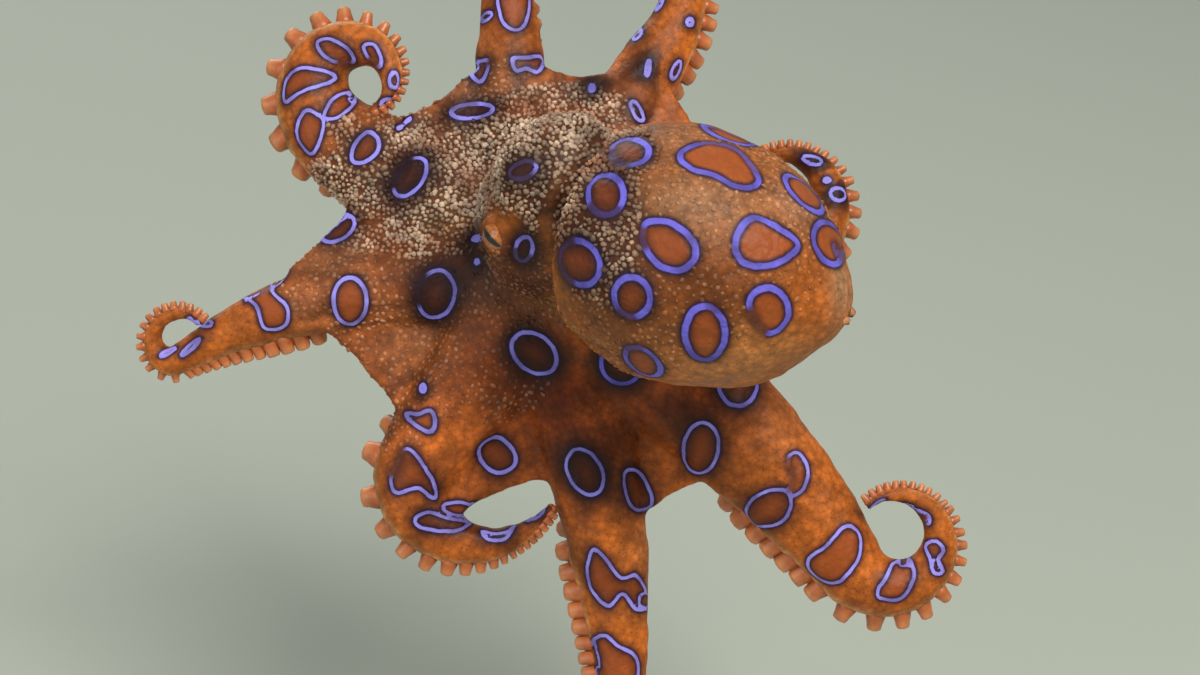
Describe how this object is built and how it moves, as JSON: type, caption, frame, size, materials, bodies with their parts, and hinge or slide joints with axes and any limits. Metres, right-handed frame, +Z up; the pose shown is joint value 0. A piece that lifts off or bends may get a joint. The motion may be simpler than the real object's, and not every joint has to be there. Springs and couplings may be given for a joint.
{
  "type": "blue-ringed octopus model",
  "caption": "Life-size blue-ringed octopus swimming with its arms spread and their tips curled, held by a slanted rod on a round base.",
  "frame": {"origin": "middle of the underside of the round base", "axes": "+Z up; +Y the way the mouth side of the arm crown faces, away from the camera; +X towards the tip of the mantle"},
  "size_m": [0.1051, 0.076, 0.1272],
  "materials": {
    "mantle": "moist skin",
    "head": "moist warty skin",
    "arm": "moist skin",
    "web": "moist skin",
    "crown": "moist skin",
    "funnel": "moist skin",
    "eye": "wet gloss",
    "rod": "brushed",
    "base": "matte"
  },
  "bodies": {
    "root": {"crown": "crown", "head": "head", "eye_left": "eye", "eye_right": "eye", "mantle": "mantle", "funnel": "funnel", "arm_right_3_base": "arm", "arm_right_3_middle": "arm", "arm_right_3_tip": "arm", "arm_right_2_base": "arm", "arm_right_2_middle": "arm", "arm_right_2_tip": "arm", "arm_right_1_base": "arm", "arm_right_1_middle": "arm", "arm_right_1_tip": "arm", "arm_left_1_base": "arm", "arm_left_1_middle": "arm", "arm_left_1_tip": "arm", "arm_left_2_base": "arm", "arm_left_2_middle": "arm", "arm_left_2_tip": "arm", "arm_left_3_base": "arm", "arm_left_3_middle": "arm", "arm_left_3_tip": "arm", "arm_left_4_base": "arm", "arm_left_4_middle": "arm", "arm_left_4_tip": "arm", "arm_right_4_base": "arm", "arm_right_4_middle": "arm", "arm_right_4_tip": "arm", "web_right_3_right_2": "web", "web_right_2_right_1": "web", "web_right_1_left_1": "web", "web_left_1_left_2": "web", "web_left_2_left_3": "web", "web_left_3_left_4": "web", "web_left_4_right_4": "web", "web_right_4_right_3": "web", "stand_base": "base", "stand_rod": "rod"}
  },
  "joints": []
}
